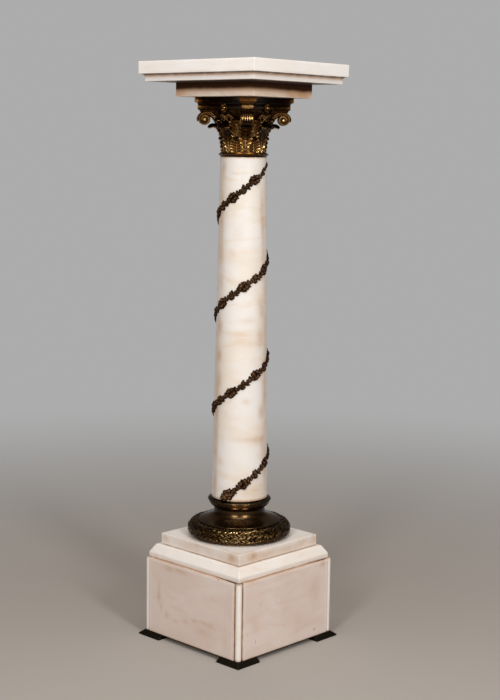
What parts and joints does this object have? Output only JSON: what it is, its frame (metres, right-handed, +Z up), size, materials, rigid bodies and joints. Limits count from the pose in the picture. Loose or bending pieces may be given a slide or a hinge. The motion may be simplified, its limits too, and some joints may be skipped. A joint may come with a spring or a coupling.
{
  "type": "pedestal column",
  "caption": "Square-topped pedestal column: a tapered round shaft wound with a bronze garland, on a flared bronze base and a stepped square plinth with corner feet, under a bronze leaf capital.",
  "frame": {"origin": "on the floor, on the shaft's axis, midway between the feet", "axes": "+Z up the shaft; the plinth's sides face along X and Y; the capital and block are turned 3.9 degrees about Z from them, and the top 4.6 degrees"},
  "size_m": [0.3014, 0.3014, 1.112],
  "materials": {
    "marble": "satin",
    "bronze": "satin",
    "dark_bronze": "satin"
  },
  "bodies": {
    "root": {"plinth_panel_front": "marble", "plinth_panel_right": "marble", "plinth_panel_back": "marble", "plinth_panel_left": "marble", "corner_bead_front_right": "marble", "corner_bead_back_right": "marble", "corner_bead_back_left": "marble", "corner_bead_front_left": "marble", "plinth_cap": "marble", "plinth_step": "marble", "shaft": "marble", "top_block": "marble", "top_slab": "marble", "laurel_ring": "bronze", "shaft_socket": "bronze", "capital": "bronze", "foot_front_right": "dark_bronze", "foot_back_right": "dark_bronze", "foot_back_left": "dark_bronze", "foot_front_left": "dark_bronze", "garland": "dark_bronze"}
  },
  "joints": []
}
